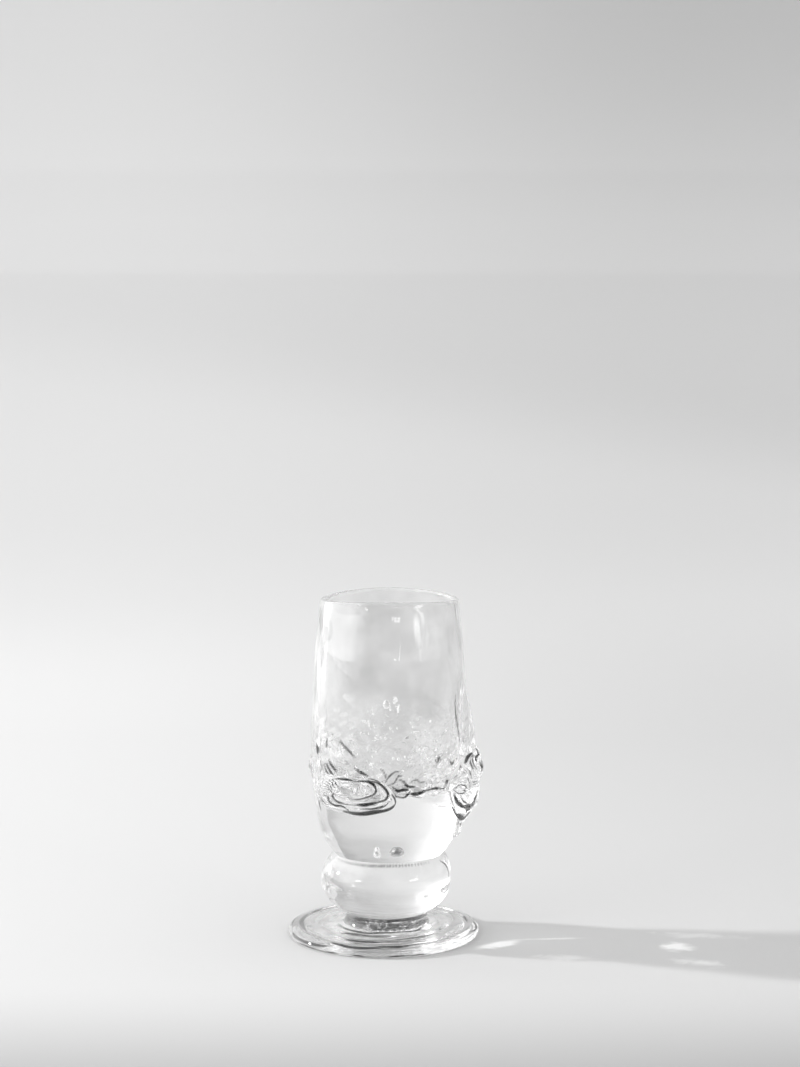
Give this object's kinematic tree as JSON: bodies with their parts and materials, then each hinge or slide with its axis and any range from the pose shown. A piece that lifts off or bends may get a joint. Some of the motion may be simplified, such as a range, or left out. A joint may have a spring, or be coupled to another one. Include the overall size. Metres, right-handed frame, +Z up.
{
  "type": "footed drinking glass",
  "caption": "Clear hand-worked footed glass: blown bowl in a thick outer gather with drawn lugs round its waist, solid knop, short neck and disc foot.",
  "frame": {"origin": "on the ground, under the middle of the foot", "axes": "+Z up towards the rim, -Y to the front, +X to the right, towards the ear-like lug"},
  "size_m": [0.0801, 0.0784, 0.1399],
  "materials": {
    "bowl_glass": "clear blown glass, fire-polished",
    "gather_glass": "clear solid glass with seeds and a few bubbles",
    "stem_glass": "clear solid glass, smooth",
    "foot_glass": "clear glass with faint tooling rings",
    "lug_glass": "clear glass with folds and tool marks"
  },
  "bodies": {
    "root": {"foot": "foot_glass", "neck": "stem_glass", "knop": "stem_glass", "base_gather": "gather_glass", "bowl": "bowl_glass", "prunt_right": "lug_glass", "prunt_front_left": "lug_glass", "prunt_back_left": "lug_glass", "prunt_back_right": "lug_glass", "trickle": "lug_glass"}
  },
  "joints": []
}
